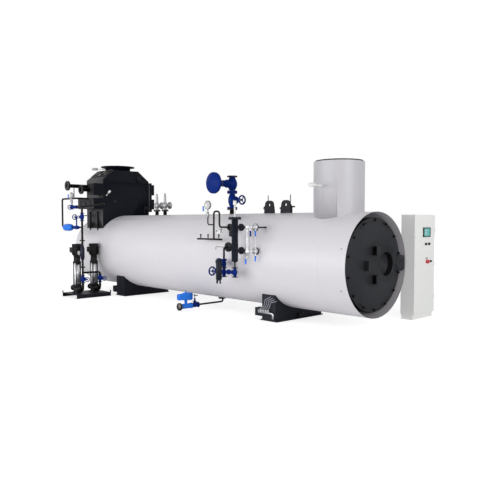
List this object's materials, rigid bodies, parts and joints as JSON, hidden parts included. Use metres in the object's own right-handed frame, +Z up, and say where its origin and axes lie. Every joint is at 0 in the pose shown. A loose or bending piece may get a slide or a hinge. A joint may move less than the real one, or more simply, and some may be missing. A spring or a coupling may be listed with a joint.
{
  "type": "industrial steam boiler",
  "caption": "Packaged heat-recovery steam boiler on saddles, with flue inlet, economizer, feed pump skid, valves, gauges and a control cabinet.",
  "frame": {"origin": "on the floor at the middle of the front saddle's foot plate", "axes": "+X along the boiler axis towards the round front plate, +Y away from the fitted side, +Z up"},
  "size_m": [9.658, 4.113, 3.532],
  "materials": {
    "cladding": "satin coated sheet",
    "cabinet": "satin",
    "front_plate": "semi-matt",
    "bolts": "semi-matt",
    "anthracite": "semi-matt",
    "cast": "painted black",
    "stainless": "brushed",
    "tubes": "dull",
    "galvanised": "zinc coated",
    "motor": "satin black",
    "dark_blue": "gloss",
    "light_blue": "gloss",
    "wheel_paint": "gloss",
    "white_plastic": "matt",
    "red_plastic": "gloss",
    "screen": "gloss",
    "glass": "clear"
  },
  "bodies": {
    "boiler": {"boiler_casing": "cladding", "rear_end": "cladding", "rear_cover": "anthracite", "front_plate": "front_plate", "front_plate_bolts": "bolts", "front_plate_straps": "front_plate", "flue_stub": "cladding", "flue_flange": "anthracite", "front_saddle": "anthracite", "rear_saddle": "anthracite", "drain_cocks": "stainless", "economizer_casing": "anthracite", "economizer_hood": "anthracite", "economizer_outlet": "anthracite", "economizer_tubes": "tubes", "economizer_headers": "anthracite", "water_nozzles": "anthracite", "pump_skid": "anthracite", "pump_castings": "cast", "pump_stages": "stainless", "pump_motors": "motor", "feed_riser": "anthracite", "stop_valves": "dark_blue", "feed_loop_pipe": "anthracite", "shell_nozzles": "anthracite", "steam_stop_valve": "dark_blue", "control_valves": "dark_blue", "valve_actuators": "light_blue", "safety_valves": "stainless", "lifting_lugs": "anthracite", "level_standpipe": "anthracite", "gauge_glass_cocks": "stainless", "gauge_glass": "glass", "pressure_manifold": "anthracite", "pressure_gauge": "stainless", "sample_cooler": "anthracite", "blowdown_pipe": "anthracite", "blowdown_valve": "dark_blue", "quick_blowdown_valve": "light_blue", "probe_heads": "white_plastic", "cabinet_body": "cabinet", "mounting_plate": "galvanised"},
    "cabinet_door": {"cabinet_door": "cabinet", "door_controls": "screen", "emergency_button": "red_plastic"},
    "steam_stop_handwheel": {"steam_stop_handwheel": "wheel_paint"},
    "feed_stop_handwheel": {"feed_stop_handwheel": "wheel_paint"},
    "gauge_branch_handwheel": {"gauge_branch_handwheel": "wheel_paint"},
    "pump_1_handwheel": {"pump_1_handwheel": "wheel_paint"},
    "pump_2_handwheel": {"pump_2_handwheel": "wheel_paint"},
    "sample_handwheel": {"sample_handwheel": "wheel_paint"}
  },
  "joints": [
    {"name": "cabinet_door_hinge", "type": "hinge", "parent": "boiler", "child": "cabinet_door", "pos_m": [1.945, 2.229, 1.1], "axis": [0, 0, 1], "range_deg": [0, 120]},
    {"name": "steam_stop_turn", "type": "hinge", "parent": "boiler", "child": "steam_stop_handwheel", "pos_m": [-1.513, 0, 2.448], "axis": [1, 0, 0], "range_deg": [0, 1080]},
    {"name": "feed_stop_turn", "type": "hinge", "parent": "boiler", "child": "feed_stop_handwheel", "pos_m": [-6.2566, -1.59, 2.087], "axis": [-1, 0, 0], "range_deg": [0, 1080]},
    {"name": "gauge_branch_turn", "type": "hinge", "parent": "boiler", "child": "gauge_branch_handwheel", "pos_m": [-6.5212, -1.59, 2.35], "axis": [-1, 0, 0], "range_deg": [0, 1080]},
    {"name": "pump_1_valve_turn", "type": "hinge", "parent": "boiler", "child": "pump_1_handwheel", "pos_m": [-5.6264, -1.59, 0.48], "axis": [1, 0, 0], "range_deg": [0, 1080]},
    {"name": "pump_2_valve_turn", "type": "hinge", "parent": "boiler", "child": "pump_2_handwheel", "pos_m": [-5.6264, -1.1, 0.48], "axis": [1, 0, 0], "range_deg": [0, 1080]},
    {"name": "sample_valve_turn", "type": "hinge", "parent": "boiler", "child": "sample_handwheel", "pos_m": [-1.1786, -1.16, 0.948], "axis": [-1, 0, 0], "range_deg": [0, 1080]}
  ]
}
